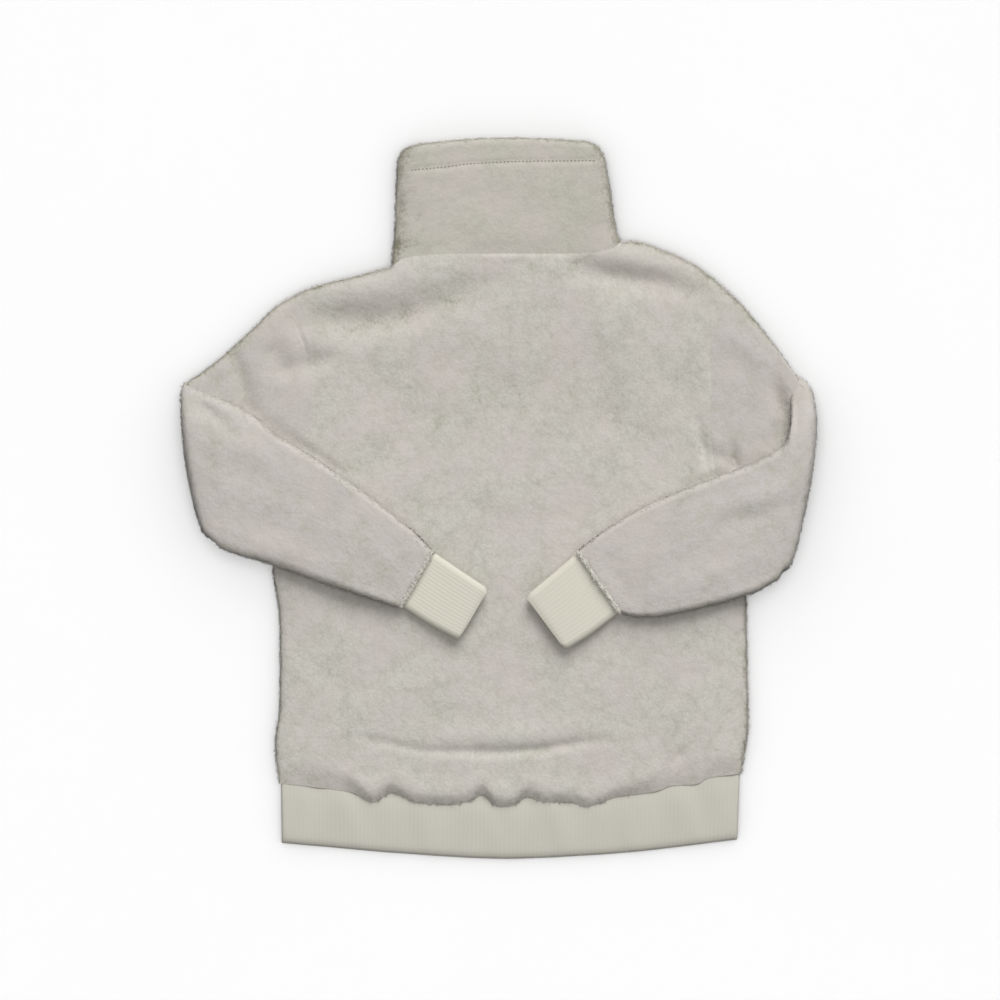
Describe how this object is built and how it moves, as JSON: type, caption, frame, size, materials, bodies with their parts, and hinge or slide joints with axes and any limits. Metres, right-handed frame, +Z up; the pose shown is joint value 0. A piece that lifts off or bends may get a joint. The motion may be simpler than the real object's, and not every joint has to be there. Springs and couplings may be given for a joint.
{
  "type": "sherpa fleece pullover",
  "caption": "Cream sherpa fleece pullover laid flat with its back up: tall stand collar, both sleeves folded across the back, ribbed cuffs and ribbed hem.",
  "frame": {"origin": "middle of the garment's outline, on the surface that it lies on", "axes": "+Z up from the surface, +Y from the hem towards the collar, +X across the garment to the right as seen from above"},
  "size_m": [0.722, 0.8206, 0.0284],
  "materials": {
    "body_fleece": "cream sherpa fleece, short curled pile, matt",
    "sleeve_fleece": "cream sherpa fleece, short curled pile, matt",
    "collar_fleece": "cream sherpa fleece, denser pile, matt",
    "cuff_rib": "cream ribbed knit, matt",
    "hem_rib_knit": "cream ribbed knit, matt"
  },
  "bodies": {
    "root": {"front_panel": "body_fleece", "back_panel": "body_fleece", "sleeve_left": "sleeve_fleece", "sleeve_right": "sleeve_fleece", "cuff_left": "cuff_rib", "cuff_right": "cuff_rib", "hem_rib": "hem_rib_knit", "collar": "collar_fleece"}
  },
  "joints": []
}
